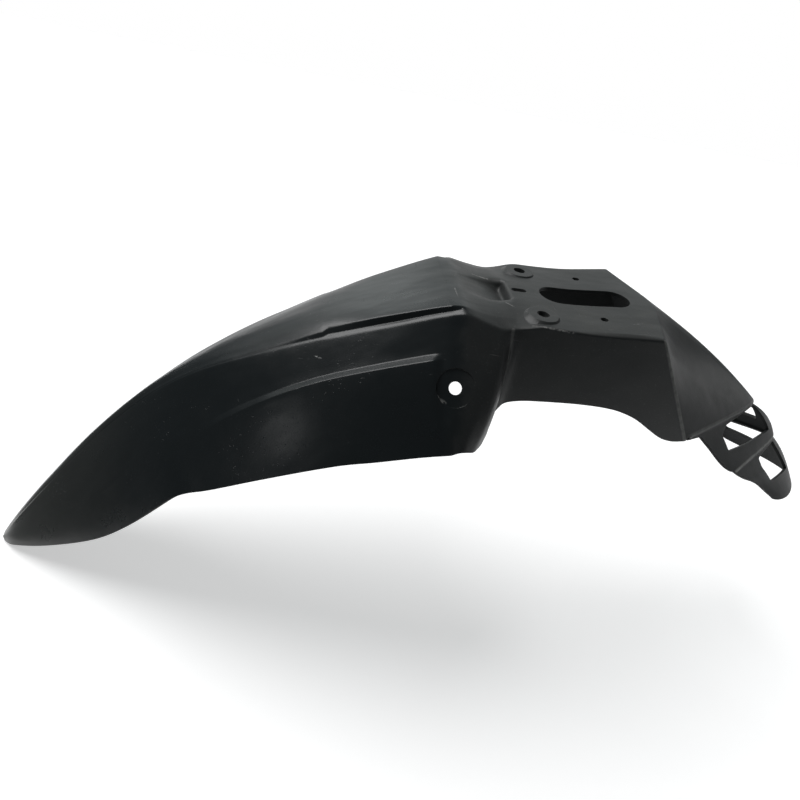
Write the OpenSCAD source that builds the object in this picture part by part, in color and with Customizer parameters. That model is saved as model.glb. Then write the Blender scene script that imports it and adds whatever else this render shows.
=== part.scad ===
// High front mudguard for an off-road motorcycle, moulded in one piece.
// X runs rearward, Y to the right-hand side, Z up. The origin is the centre of the
// bolt pattern, at the height of the raised pads that seat under the fork yoke.

/* [Wheel] */
// Height of the bolt centre above the wheel axle
axle_drop = 396; // [385:1:410]
// Distance of the bolt centre behind the wheel axle
axle_lead = 28; // [20:1:36]

/* [Moulding] */
// Wall of the moulding
wall = 2.6; // [2:0.1:3.2]

/* [Beak] */
// Angle of the nose tip ahead of the wheel's top
nose_angle = 74.3; // [74:0.1:75.4]
// Lowest radius of the deck edge about the axle
deck_r = 376; // [370:1:382]
// Half width of the deck where it meets the plate
deck_half_w = 44; // [36:1:48]
// Radius of the skirt's hem about the axle
hem_r = 325; // [315:1:335]
// Half width of the beak at its widest
beak_half_w = 97; // [85:1:105]
// Outward bulge of the side walls
side_bulge = 3; // [0:0.5:5]
// Step of the long ledge on each side
ledge_step = 5; // [2:0.5:7]
// Height of the vent step beside the deck
vent_step = 7; // [4:0.5:8]
// Step of the lip round the nose
lip_step = 1.6; // [0.5:0.1:2.5]

/* [Side holes] */
// Diameter of the hole in each side wall
side_hole_d = 8.5; // [6:0.5:10]
// Angle of the side holes ahead of the wheel's top
side_hole_angle = -8; // [-8.5:0.1:-7.5]
// Depth of the flat recess round each
recess_depth = 1; // [0.5:0.1:1.4]
// Diameter of the flat recess round it
side_recess_d = 25; // [20:1:30]

/* [Plate] */
// Front end of the plate ahead of the bolt centre
plate_front = 38; // [36:1:42]
// Rear corners of the plate behind the bolt centre
plate_rear = 55; // [50:1:60]
// Rear point of the plate on the centre line
plate_point = 72; // [68:1:78]
// Half width of the plate at its front
plate_front_half_w = 48; // [46:1:52]
// Half width of the plate at its rear corners
plate_rear_half_w = 56; // [52:1:58]
// Depth of the trough ahead of the plate
trough_depth = 8; // [4:0.5:10]
// Half width of the trough
trough_half_w = 14; // [10:1:18]

/* [Bolt pattern] */
// Distance from the front bolts to the rear bolts
bolt_length = 44; // [40:1:48]
// Distance between the two front bolts
front_bolt_width = 68; // [62:1:72]
// Distance between the two rear bolts
rear_bolt_width = 63; // [58:1:68]
// Diameter of the front bolt holes
front_bolt_d = 8.5; // [6.5:0.5:9]
// Diameter of the rear bolt holes
rear_bolt_d = 5.2; // [4.5:0.1:6.5]
// Diameter of the raised pad round each front bolt
pad_d = 22; // [18:1:24]
// Height of the pads above the plate
pad_rise = 0.6; // [0.4:0.1:1.5]
// Front end of the small locating slot, ahead of the bolt centre
key_front = 36; // [34:0.5:37]
// Rear end of the small locating slot, ahead of the bolt centre
key_rear = 25; // [20:0.5:28]
// Width of the small locating slot
key_w = 5; // [4:0.5:7]
// Front end of the long slot, ahead of the bolt centre
slot_front = 15; // [10:1:18]
// Rear end of the long slot, behind the bolt centre
slot_rear = 51.5; // [48:0.5:54]
// Width of the long slot
slot_w = 25; // [18:1:28]

/* [Waist] */
// Depth of the waist walls below the plate
waist_depth = 54; // [50:1:60]
// Outward draft of the waist walls over their depth
waist_draft = 5; // [3:0.5:7]

/* [Rear panel] */
// Distance of the lip's point behind the bolt centre
lip_point = 194.5; // [186:0.5:202]
// Depth of the lip below the bolt centre
lip_drop = 67; // [60:1:74]
// Height of the lip's rim
lip_h = 3; // [2:0.5:5]
// Rise of the rear panel's crown
panel_bulge = 4; // [0:0.5:6]

/* [Tail] */
// Inset of the tail behind the lip
tail_inset = 1.5; // [1:0.5:4]
// Distance of the cross ridge's point behind the bolt centre
ridge_point = 232; // [225:1:240]
// Depth of the cross ridge below the bolt centre
ridge_drop = 99; // [94:1:104]
// Distance of the tail's end behind the bolt centre
tail_point = 270; // [264:1:280]
// Depth of the tail's end below the bolt centre
tail_drop = 138; // [132:1:146]
// Half width of the round end of the tail
tail_half_w = 42.5; // [38:0.5:45]
// Rise of the tail's crown above and below the cross ridge
tail_bulge = 4.5; // [0:0.5:6]
// Step under the cross ridge
ridge_step = 1.5; // [0.5:0.25:2.5]

/* [Hidden] */
$fn = 48;
finish = [0.07, 0.08, 0.085];
bolt_x = bolt_length / 2;
plate_z = -pad_rise;
plate_tail_z = 3.2;
window_reach = 10;

// Interpolation along lists of [position, value], with flat or sloping ends
function lerp(a, b, t) = a + (b - a) * t;
function ramp(a, b, x) = let (t = min(1, max(0, (x - a) / (b - a)))) t * t * (3 - 2 * t);
function unit(v) = v / norm(v);
function span(keys, x, i = 0) = i >= len(keys) - 2 || x < keys[i + 1][0] ? i : span(keys, x, i + 1);
function slope(keys, i) = let (a = max(0, i - 1), b = min(len(keys) - 1, i + 1))
    (keys[b][1] - keys[a][1]) / (keys[b][0] - keys[a][0]);
function curve(keys, x) = let (
    i = span(keys, x),
    w = keys[i + 1][0] - keys[i][0],
    t = min(1, max(0, (x - keys[i][0]) / w)))
    (1 + 2 * t) * (1 - t) * (1 - t) * keys[i][1] + t * t * (3 - 2 * t) * keys[i + 1][1]
    + w * t * (1 - t) * ((1 - t) * slope(keys, i) - t * slope(keys, i + 1));

// A point at an angle and radius about the axle
function about_axle(a, r, y) = [-axle_lead + r * sin(a), y, -axle_drop + r * cos(a)];
function away(p) = unit([p[0] + axle_lead, 0, p[2] + axle_drop]);

// Beak sections, by angle about the axle from the nose to the plate
rim_angle = -8;
deck_over = [[-nose_angle, 22.5], [-71, 16.5], [-66, 8.5], [-60, 2], [-52, -1], [-44, -0.8], [-36, 0],
    [-28, 0.6], [-20, 3.8], [-14, 10.2], [rim_angle, 20]];
deck_share = [[-nose_angle, 0.08], [-62, 0.15], [-44, 0.16], [-36, 0.29], [-28, 0.53], [-20, 0.7],
    [-14, 0.85], [rim_angle, 0.99]];
deck_rise = [[-nose_angle, 0.5], [-62, 2.5], [-44, 4], [-36, 7], [-28, 8.5], [-20, 8], [-14, 6],
    [rim_angle, 3.5]];
hem_over = [[-nose_angle, 70], [-73.4, 64], [-69.6, 40], [-65.9, 23], [-61.3, 8], [-56, 0],
    [-50, -1], [-42.5, 3.5], [-38, -1], [-30, -2.4], [-20, -0.5], [rim_angle, 1.5]];
hem_share = [[-nose_angle, 0.09], [-73.4, 0.16], [-69.6, 0.29], [-61.3, 0.47], [-49.6, 0.64],
    [-36.8, 0.82], [-26.9, 0.93], [-18, 0.99], [rim_angle, 1]];

// The ledge starts as a point on the wall and deepens towards the rear
ledge_tip = -38.5;
ledge_end = -10.2;
ledge_at = [[ledge_tip, 0.5], [-30, 0.375], [-22, 0.305], [rim_angle, 0.265]];
vent_tip = -20.6;

// Shares of the side wall's height at which its rows of points lie
ledge_h = 0.05;
function wall_shares(l) = concat([0, 0.05, l * 0.55, l],
    [for (k = [0, 0.13, 0.32, 0.54, 0.77, 1]) lerp(l + ledge_h, 1, k)]);

// Side wall from the deck edge to the hem, with a bulge and the ledge
function wall_row(top, hem, bulge, l, step, sweep = 0) = let (
    run = hem - top,
    out = unit([0, -run[2], run[1]]))
    [for (s = wall_shares(l)) let (
        arch = 4 * s * (1 - s),
        proud = s <= l ? 0 : step * (1 - s) / (1 - l - ledge_h))
        top + run * s + out * (arch * bulge + proud) + [arch * sweep, 0, 0]];

// The lip round the nose lies below a straight line in side view
function lip(p) = let (line = -153 + (p[0] + 248) * 0.58)
    p + [0, lip_step * ramp(0, 6, line - p[2]), 0];

function beak_row(a) = let (
    r = deck_r + curve(deck_over, a),
    w = deck_half_w * curve(deck_share, a),
    rise = curve(deck_rise, a),
    vent = ramp(vent_tip, vent_tip + 1.4, a),
    step = vent * lerp(vent_step, vent_step * 0.4, (a - vent_tip) / (rim_angle - vent_tip)),
    flat = lerp(0.8, 0.42, ramp(vent_tip, rim_angle, a)),
    square = ramp(-36, vent_tip, a),
    l = curve(ledge_at, a),
    top = about_axle(a, r, w),
    hem = about_axle(a, hem_r + curve(hem_over, a), beak_half_w * curve(hem_share, a)),
    step_out = ledge_step * ramp(ledge_tip, -22, a) * (1 - ramp(ledge_end, ledge_end + 0.8, a)))
    concat(
        [for (u = [0, 0.3, flat * 0.75, flat])
            about_axle(a, r + rise * (1 - pow(u, lerp(4, 8, square))), w * u)],
        [about_axle(a, r + max(step, rise * lerp(0.35, 0.8, square)), w - lerp(w * 0.12, 4, vent)),
         about_axle(a, r + lerp(rise * 0.15, 0.6, vent), w - lerp(w * 0.05, 2.2, vent))],
        [for (p = wall_row(top, hem, side_bulge, l, step_out)) lip(p)]);

// Rows behind the beak: points from the centre to the top edge, then the wall below it
function row(inner, top, hem, bulge = 0, sweep = 0) =
    concat(inner, wall_row(top, hem, bulge, 0.265, 0, sweep));
function across(x, ys, zs) = [for (i = [0 : len(ys) - 1]) [x, ys[i], zs[i]]];
t_w = trough_half_w;
front_w = plate_front_half_w;
rear_rows = [
    row(across(-76, [0, t_w - 2, t_w, 26, 38, 41], [0.5, 0.5, 0.4, 0.4, 0.2, -0.4]),
        [-75, 45, -1.5], about_axle(-7.7, hem_r + 1.5, beak_half_w - 0.5), side_bulge - 1.8, 1.5),
    row(across(-66, [0, t_w - 2, t_w + 2, 27, 38, 42], [-2.2, -2.2, -1.8, -2, -2.6, -3.2]),
        [-63, 47, -4.6], about_axle(-7, hem_r + 1, beak_half_w - 1.5), side_bulge - 1.2, 4),
    row(across(-55, [0, t_w - 2, t_w + 2, 27, 38, 43], [-5, -5, -2.8, -3, -4.2, -5.4]),
        [-51, front_w + 1, -7], [-60, beak_half_w - 6, -(waist_depth + 21.5)], side_bulge, 5),
    row(across(-50, [0, t_w - 2, t_w + 2, 27, 38, 43], [-6.2, -6.2, -2.6, -2.8, -4.2, -5.6]),
        [-47.5, front_w + 0.5, -7], [-53, 81, -(waist_depth + 23)], 2, 4.5),
    row(across(-46, [0, t_w - 2, t_w + 2, 27, 38, 43], [-7.2, -7.2, -2, -2.4, -3.8, -5.4]),
        [-44, front_w, -6.6], [-47.5, 71, -(waist_depth + 20.5)], 0, 1.5)];

// Waist rows: the top edge follows the plate and the hem swings out towards the lip
waist_top = [[0, [-41, front_w, plate_z - 5.4]], [0.08, [-35, front_w + 0.6, plate_z - 4]],
    [0.14, [-29.5, front_w + 1.2, plate_z - 1.6]], [0.2, [-24, front_w + 1.6, plate_z - 0.6]],
    [0.35, [-6, 51, plate_z - 1]], [0.6, [22, 52.5, plate_z]],
    [0.85, [46, plate_rear_half_w - 1, plate_tail_z - 1]],
    [1, [plate_rear, plate_rear_half_w, plate_tail_z]]];
waist_hem = [[0, [-44, waist_depth + 12.5]], [0.035, [-40.5, waist_depth + 8]],
    [0.08, [-36, waist_depth + 5.4]],
    [0.14, [-30, waist_depth + 3.4]], [0.2, [-24, waist_depth + 2.4]], [0.3, [-10, waist_depth + 1]],
    [0.5, [22, waist_depth - 0.5]], [0.7, [51, waist_depth + 2]], [0.8, [67, waist_depth + 9]],
    [0.88, [82, waist_depth + 18.5]], [0.94, [94, waist_depth + 22]], [1, [106, waist_depth + 20]]];
hem_flare = 8;
function waist_row(t) = let (
    top = curve(waist_top, t),
    h = curve(waist_hem, t),
    flare = hem_flare * (1 - ramp(-0.02, 0.1, t)),
    hem = [h[0], top[1] + waist_draft * (1 - 0.6 * t) + flare, -h[1]],
    mid = lerp(top[0], plate_point, pow(t, 4)),
    edge = top[1],
    sunk = trough_depth * (1 - ramp(-plate_front - 2.5, -plate_front, top[0])))
    row([for (y = [0, t_w - 2, t_w, 27, 38, edge - 3]) let (
            x = lerp(mid, top[0], sqrt(pow(y / edge, 2) + 0.01)),
            flank = min(0, top[2] - plate_z) * pow(y / edge, 2),
            z = lerp(plate_z, plate_tail_z, ramp(0, plate_rear, x)) + flank)
            [x, y, y < t_w - 1 ? z - sunk : z]],
        top, hem);

// Lines that run from the crown to the free edge, pointed in plan
round_share = 0.12;
function vee(u) = (sqrt(u * u + round_share * round_share) - round_share)
    / (sqrt(1 + round_share * round_share) - round_share);
function keel(u, crown, edge) =
    [lerp(crown[0], edge[0], vee(u)), edge[1] * u, lerp(crown[2], edge[2], vee(u))];
row_points = 16;
shares = [for (j = [0 : row_points - 1]) j / (row_points - 1)];
function risen(p, u, t, rise) = p + away(p) * 4 * t * (1 - t) * (1 - u * u) * rise;

// The rear panel spans from the plate's rear edge and the walls' rear creases to the lip
plate_crown = [plate_point, 0, plate_tail_z];
plate_corner = [plate_rear, plate_rear_half_w, plate_tail_z];
lip_crown = [lip_point, 0, -lip_drop];
lip_edge = [108, 57, -(lip_drop + 4)];
function panel_at(d) = let (
    crown = lerp(plate_crown, lip_crown, d[1]),
    edge = lerp(plate_corner, lip_edge, d[1]))
    risen(keel(d[0], crown, edge), d[0], d[1], panel_bulge);
panel_top = waist_row(1);
crease_shares = wall_shares(0.265);
panel_start = [for (j = [0 : row_points - 1])
    j < 6 ? [panel_top[j][1] / plate_rear_half_w, 0] : [1, crease_shares[j - 6]]];
function panel_row(t) = [for (j = [0 : row_points - 1])
    panel_at(lerp(panel_start[j], [shares[j], 1], t)) + (panel_top[j] - panel_at(panel_start[j])) * (1 - t)];
lip_low_row = [for (u = shares) keel(u, lip_crown, lip_edge) - [0, 0, lip_h]];

// The tail hangs from inside the lip, with a cross ridge part way down and a round end
tail_crown = [lip_point - tail_inset, 0, -(lip_drop + lip_h + 0.5)];
tail_edge = [lip_edge[0] + 17, 48.4, lip_edge[2] - lip_h - 1.5];
ridge_crown = [ridge_point, 0, -ridge_drop];
ridge_edge = [172, 49.5, -(ridge_drop + 7)];
hem_sag = [[0, 0], [0.4, 2.3], [0.65, 4.2], [0.85, 3.1], [1, 0]];
function tail_at(u, t) = let (edge = lerp(tail_edge, ridge_edge, t) - [0, 0, curve(hem_sag, t)])
    risen(keel(u, lerp(tail_crown, ridge_crown, t), edge), u, t, tail_bulge);
step_in = [-0.6, 0, -0.8] * ridge_step;
end_edge = ridge_edge + step_in - [0, ridge_step, 0];
end_x = 226;
end_sway = [[0, [0, 0, 0]], [0.2, [3.2, 0, -0.4]], [0.45, [2.1, 0, 3.1]], [0.75, [0.1, 0, 2.5]],
    [1, [0, 0, 0]]];
function end_curve(u) = [end_x + (tail_point - end_x) * pow(cos(90 * u), 1.3), tail_half_w * sin(90 * u),
    1.5 * u * u - 3.5 * sin(180 * u) - tail_drop];
function end_at(u, t) = let (straight = lerp(keel(u, ridge_crown + step_in, end_edge), end_curve(u), t))
    risen(straight + curve(end_sway, t) * u * u, u, t, tail_bulge * 0.55);

beak_angles = concat([-nose_angle, -74.2, -73.3, -72, -70], [for (a = [-67.5 : 3.5 : -43]) a],
    [-41, -38.5, -36, -33, -30.5, -28, -25, -22.5, -20.6, -19.9, -19.2, -17, -15, -13, -11.4],
    [ledge_end, ledge_end + 0.8, rim_angle - 0.6]);
rows = concat(
    [for (a = beak_angles) beak_row(a)],
    rear_rows,
    [for (t = [0, 0.035, 0.08, 0.2, 0.32, 0.44, 0.56, 0.66, 0.76, 0.84, 0.9, 0.95, 1]) waist_row(t)],
    [for (t = [0.12, 0.3, 0.5, 0.7, 0.88, 1]) panel_row(t)],
    [lip_low_row],
    [for (t = [0, 0.15, 0.35, 0.55, 0.75, 0.92, 1]) [for (u = shares) tail_at(u, t)]],
    [for (t = [0, 0.1, 0.22, 0.38, 0.55, 0.75, 0.9, 1]) [for (u = shares) end_at(u, t)]]);

// The full surface from edge to edge, and its inner side one wall further in
last = row_points - 1;
function mirrored(half) = concat([for (j = [last : -1 : 1]) [half[j][0], -half[j][1], half[j][2]]], half);
outer = [for (r = rows) mirrored(r)];
n = len(outer);
m = len(outer[0]);
function normal(i, j) = let (
    along = outer[min(n - 1, i + 1)][j] - outer[max(0, i - 1)][j],
    side = outer[i][min(m - 1, j + 1)] - outer[i][max(0, j - 1)])
    unit(cross(along, side));
inner = [for (i = [0 : n - 1]) [for (j = [0 : m - 1]) outer[i][j] - normal(i, j) * wall]];

module shell() {
    function at(i, j, s) = s * n * m + i * m + j;
    points = concat([for (r = outer) each r], [for (r = inner) each r]);
    skins = [for (i = [0 : n - 2]) for (j = [0 : m - 2]) each [
        [at(i, j, 0), at(i, j + 1, 0), at(i + 1, j + 1, 0)],
        [at(i, j, 0), at(i + 1, j + 1, 0), at(i + 1, j, 0)],
        [at(i, j, 1), at(i + 1, j + 1, 1), at(i, j + 1, 1)],
        [at(i, j, 1), at(i + 1, j, 1), at(i + 1, j + 1, 1)]]];
    sides = [for (i = [0 : n - 2]) each [
        [at(i, 0, 0), at(i + 1, 0, 0), at(i + 1, 0, 1)],
        [at(i, 0, 0), at(i + 1, 0, 1), at(i, 0, 1)],
        [at(i, m - 1, 0), at(i + 1, m - 1, 1), at(i + 1, m - 1, 0)],
        [at(i, m - 1, 0), at(i, m - 1, 1), at(i + 1, m - 1, 1)]]];
    ends = [for (j = [0 : m - 2]) each [
        [at(0, j, 0), at(0, j + 1, 1), at(0, j + 1, 0)],
        [at(0, j, 0), at(0, j, 1), at(0, j + 1, 1)],
        [at(n - 1, j, 0), at(n - 1, j + 1, 0), at(n - 1, j + 1, 1)],
        [at(n - 1, j, 0), at(n - 1, j + 1, 1), at(n - 1, j, 1)]]];
    polyhedron(points, concat(skins, sides, ends), convexity = 10);
}

// Cuts a bolt hole of the given diameter at a place on the plate and at its mirror image
module bolt_pair(x, width, d) {
    for (side = [-1, 1])
        translate([x, side * width / 2, -20]) cylinder(h = 40, d = d);
}

module long_slot() {
    r = slot_w / 2;
    for (x = [r - slot_front, slot_rear - r])
        translate([x, 0, -20]) cylinder(h = 40, r = r);
    translate([r - slot_front, -r, -20]) cube([slot_front + slot_rear - slot_w, slot_w, 40]);
}

// Small oblong hole at the head of the trough, which locates the plate
module key_slot() {
    r = key_w / 2;
    for (x = [r - key_front, -key_rear - r])
        translate([x, 0, -20]) cylinder(h = 40, r = r);
    translate([r - key_front, -r, -20]) cube([key_front - key_rear - key_w, key_w, 40]);
}

// Each side wall has a bored hole in a flat round recess, square to the wall
side_top = about_axle(side_hole_angle, deck_r + curve(deck_over, side_hole_angle), deck_half_w);
side_hem = about_axle(side_hole_angle, hem_r, beak_half_w);
side_at = lerp(side_top, side_hem, 0.5) + [0, 1, 0] * side_bulge;
side_tilt = atan2(side_hem[1] - side_top[1], side_top[2] - side_hem[2]);
side_turn = 6;
module side_holes() {
    for (side = [0, 1]) mirror([0, side, 0])
        translate(side_at) rotate([side_tilt - 90, 0, 0]) rotate([0, -side_turn, 0]) {
        translate([0, 0, -15]) cylinder(h = 30, d = side_hole_d);
        translate([0, 0, -recess_depth]) cylinder(h = 12, d = side_recess_d);
    }
}

// Windows through each half of the tail: their corners lie on its surface, which is nearly flat there
upper_window = [for (c = [[0.05, 0.05], [0.18, 0.73], [0.57, 0.64], [0.84, 0.52], [0.78, 0.2], [0.65, 0.06]])
    tail_at(c[0], c[1])];
lower_window = [for (c = [[0.14, 0.05], [0.22, 0.67], [0.71, 0.58], [0.64, 0.23], [0.56, 0.08]])
    end_at(c[0], c[1])];
module window(at) {
    normal = unit(cross(at[2] - at[0], at[4] - at[1]));
    u = unit(at[2] - at[0]);
    v = cross(normal, u);
    flat = [for (p = at) [(p - at[0]) * u, (p - at[0]) * v]];
    for (side = [0, 1]) mirror([0, side, 0])
        multmatrix([for (k = [0 : 2]) [u[k], v[k], normal[k], at[0][k]]])
            translate([0, 0, -window_reach]) linear_extrude(2 * window_reach) polygon(flat);
}

module mudguard() {
    color(finish) difference() {
        union() {
            shell();
            for (side = [-1, 1]) translate([-bolt_x, side * front_bolt_width / 2, plate_z - wall])
                cylinder(h = pad_rise + wall, d = pad_d);
        }
        bolt_pair(-bolt_x, front_bolt_width, front_bolt_d);
        bolt_pair(bolt_x, rear_bolt_width, rear_bolt_d);
        long_slot();
        key_slot();
        side_holes();
        window(upper_window);
        window(lower_window);
    }
}

mudguard();
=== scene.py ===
import math

import bmesh
import bpy
import numpy as np
from mathutils import Matrix, Vector


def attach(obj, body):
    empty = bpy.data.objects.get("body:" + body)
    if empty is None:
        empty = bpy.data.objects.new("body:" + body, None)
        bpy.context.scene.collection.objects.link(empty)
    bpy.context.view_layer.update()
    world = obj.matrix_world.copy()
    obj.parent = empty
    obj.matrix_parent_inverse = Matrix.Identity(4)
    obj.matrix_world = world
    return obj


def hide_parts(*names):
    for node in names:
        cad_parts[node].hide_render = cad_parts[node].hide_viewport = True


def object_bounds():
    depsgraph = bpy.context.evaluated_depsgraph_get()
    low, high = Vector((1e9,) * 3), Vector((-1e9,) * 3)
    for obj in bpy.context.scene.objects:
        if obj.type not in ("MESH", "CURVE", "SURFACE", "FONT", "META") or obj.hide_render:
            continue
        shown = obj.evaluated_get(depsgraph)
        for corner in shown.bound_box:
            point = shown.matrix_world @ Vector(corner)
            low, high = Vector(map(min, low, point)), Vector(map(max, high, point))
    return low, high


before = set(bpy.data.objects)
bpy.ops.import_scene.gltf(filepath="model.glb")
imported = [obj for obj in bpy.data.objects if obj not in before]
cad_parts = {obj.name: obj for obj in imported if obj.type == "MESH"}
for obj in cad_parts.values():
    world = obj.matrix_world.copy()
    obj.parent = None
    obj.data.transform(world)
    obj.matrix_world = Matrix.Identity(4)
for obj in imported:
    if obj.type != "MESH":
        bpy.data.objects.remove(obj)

cad_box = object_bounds()
MM = 0.001

# Driving sizes in millimetres, the same as the part's own
AXLE_DROP = 396.0
AXLE_LEAD = 28.0
WALL = 2.6
NOSE_ANGLE = 74.3
DECK_R = 376.0
DECK_HALF_W = 44.0
HEM_R = 325.0
BEAK_HALF_W = 97.0
SIDE_BULGE = 3.0
LEDGE_STEP = 5.0
VENT_STEP = 7.0
LIP_STEP = 1.6
SIDE_HOLE_D = 8.5
SIDE_HOLE_ANGLE = -8.0
RECESS_DEPTH = 1.0
SIDE_RECESS_D = 25.0
PLATE_FRONT = 38.0
PLATE_REAR = 55.0
PLATE_POINT = 72.0
PLATE_FRONT_HALF_W = 48.0
PLATE_REAR_HALF_W = 56.0
TROUGH_DEPTH = 8.0
TROUGH_HALF_W = 14.0
BOLT_X = 22.0
FRONT_BOLT_WIDTH = 68.0
REAR_BOLT_WIDTH = 63.0
FRONT_BOLT_D = 8.5
REAR_BOLT_D = 5.2
PAD_D = 22.0
PAD_RISE = 0.6
KEY_FRONT, KEY_REAR, KEY_W = 36.0, 25.0, 5.0
SLOT_FRONT, SLOT_REAR, SLOT_W = 15.0, 51.5, 25.0
WAIST_DEPTH = 54.0
WAIST_DRAFT = 5.0
LIP_POINT = 194.5
LIP_DROP = 67.0
LIP_H = 3.0
PANEL_BULGE = 4.0
TAIL_INSET = 1.5
RIDGE_POINT = 232.0
RIDGE_DROP = 99.0
TAIL_POINT = 270.0
TAIL_DROP = 138.0
TAIL_HALF_W = 42.5
TAIL_BULGE = 4.5
RIDGE_STEP = 1.5
PLATE_Z = -PAD_RISE
PLATE_TAIL_Z = 3.2


# Each control row runs from the centre by five inner points to the top edge, then down the wall to the hem
ROW_POINTS = 16
TOP_EDGE = 6
HEM = ROW_POINTS - 1
PLAIN_LEDGE = 0.265


# Interpolation
def lerp(a, b, t):
    return a + (b - a) * t


def ramp(a, b, x):
    t = min(1.0, max(0.0, (x - a) / (b - a)))
    return t * t * (3 - 2 * t)


def point(*values):
    return np.array(values, float)


def unit(v):
    return v / np.linalg.norm(v)


def curve(keys, x):
    """A smooth curve through a list of (position, value), where a value is a number or a point."""
    i = 0
    while i < len(keys) - 2 and x >= keys[i + 1][0]:
        i += 1

    def value(k):
        return np.asarray(keys[k][1], float)

    def slope(k):
        a, b = max(0, k - 1), min(len(keys) - 1, k + 1)
        return (value(b) - value(a)) / (keys[b][0] - keys[a][0])

    w = keys[i + 1][0] - keys[i][0]
    t = min(1.0, max(0.0, (x - keys[i][0]) / w))
    return ((1 + 2 * t) * (1 - t) ** 2 * value(i) + t * t * (3 - 2 * t) * value(i + 1)
            + w * t * (1 - t) * ((1 - t) * slope(i) - t * slope(i + 1)))


def about_axle(angle, radius, y):
    a = math.radians(angle)
    return point(-AXLE_LEAD + radius * math.sin(a), y, -AXLE_DROP + radius * math.cos(a))


def away(p):
    return unit(point(p[0] + AXLE_LEAD, 0, p[2] + AXLE_DROP))


# Beak sections, by angle about the axle from the nose to the plate
RIM_ANGLE = -8.0
DECK_OVER = [(-NOSE_ANGLE, 22.5), (-71, 16.5), (-66, 8.5), (-60, 2), (-52, -1), (-44, -0.8), (-36, 0),
             (-28, 0.6), (-20, 3.8), (-14, 10.2), (RIM_ANGLE, 20)]
DECK_SHARE = [(-NOSE_ANGLE, 0.08), (-62, 0.15), (-44, 0.16), (-36, 0.29), (-28, 0.53), (-20, 0.7),
              (-14, 0.85), (RIM_ANGLE, 0.99)]
DECK_RISE = [(-NOSE_ANGLE, 0.5), (-62, 2.5), (-44, 4), (-36, 7), (-28, 8.5), (-20, 8), (-14, 6),
             (RIM_ANGLE, 3.5)]
HEM_OVER = [(-NOSE_ANGLE, 70), (-73.4, 64), (-69.6, 40), (-65.9, 23), (-61.3, 8), (-56, 0),
            (-50, -1), (-42.5, 3.5), (-38, -1), (-30, -2.4), (-20, -0.5), (RIM_ANGLE, 1.5)]
HEM_SHARE = [(-NOSE_ANGLE, 0.09), (-73.4, 0.16), (-69.6, 0.29), (-61.3, 0.47), (-49.6, 0.64),
             (-36.8, 0.82), (-26.9, 0.93), (-18, 0.99), (RIM_ANGLE, 1)]
LEDGE_TIP, LEDGE_FULL, LEDGE_END = -38.5, -22, -10.2
LEDGE_FADE, LEDGE_H = 0.8, 0.05
LEDGE_AT = [(LEDGE_TIP, 0.5), (-30, 0.375), (-22, 0.305), (RIM_ANGLE, PLAIN_LEDGE)]
VENT_TIP, VENT_RUN = -20.6, 0.6
FRONT_RISE = [(-NOSE_ANGLE, 0.5), (-62, 2.5), (-44, 3), (-36, 2.2), (-28, 4), (VENT_TIP, 7.2)]
VENT_REAR_SHARE = 0.6
CREST_GROWTH = 2.0
CREST_SLOPE = 0.72
CREST_START, CREST_FULL, CREST_END = -48, -36, -12
SQUARE_START, SQUARE_FULL = -27, -17
FLAT_AT_TIP, FLAT_AT_RIM = 0.8, 0.42
LIP_LINE_X, LIP_LINE_Z, LIP_LINE_SLOPE, LIP_RUN = -248, -153, 0.58, 6


def wall_shares(ledge):
    """Places down the wall, as shares of its run from the top edge by the ledge to the hem."""
    below = [lerp(ledge + LEDGE_H, 1, k) for k in (0, 0.13, 0.32, 0.54, 0.77, 1)]
    return [0, 0.05, ledge * 0.55, ledge] + below


def wall_row(top, hem, bulge, ledge, step, sweep=0.0):
    """Side wall from the deck edge to the hem, with a bulge and the ledge."""
    run = hem - top
    out = unit(point(0, -run[2], run[1]))
    points = []
    for s in wall_shares(ledge):
        arch = 4 * s * (1 - s)
        proud = 0 if s <= ledge else step * (1 - s) / (1 - ledge - LEDGE_H)
        points.append(top + run * s + out * (arch * bulge + proud) + point(arch * sweep, 0, 0))
    return points


def lip(p):
    """The lip round the nose stands out below a straight line in side view."""
    line = LIP_LINE_Z + (p[0] - LIP_LINE_X) * LIP_LINE_SLOPE
    return p + point(0, LIP_STEP * ramp(0, LIP_RUN, line - p[2]), 0)


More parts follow.
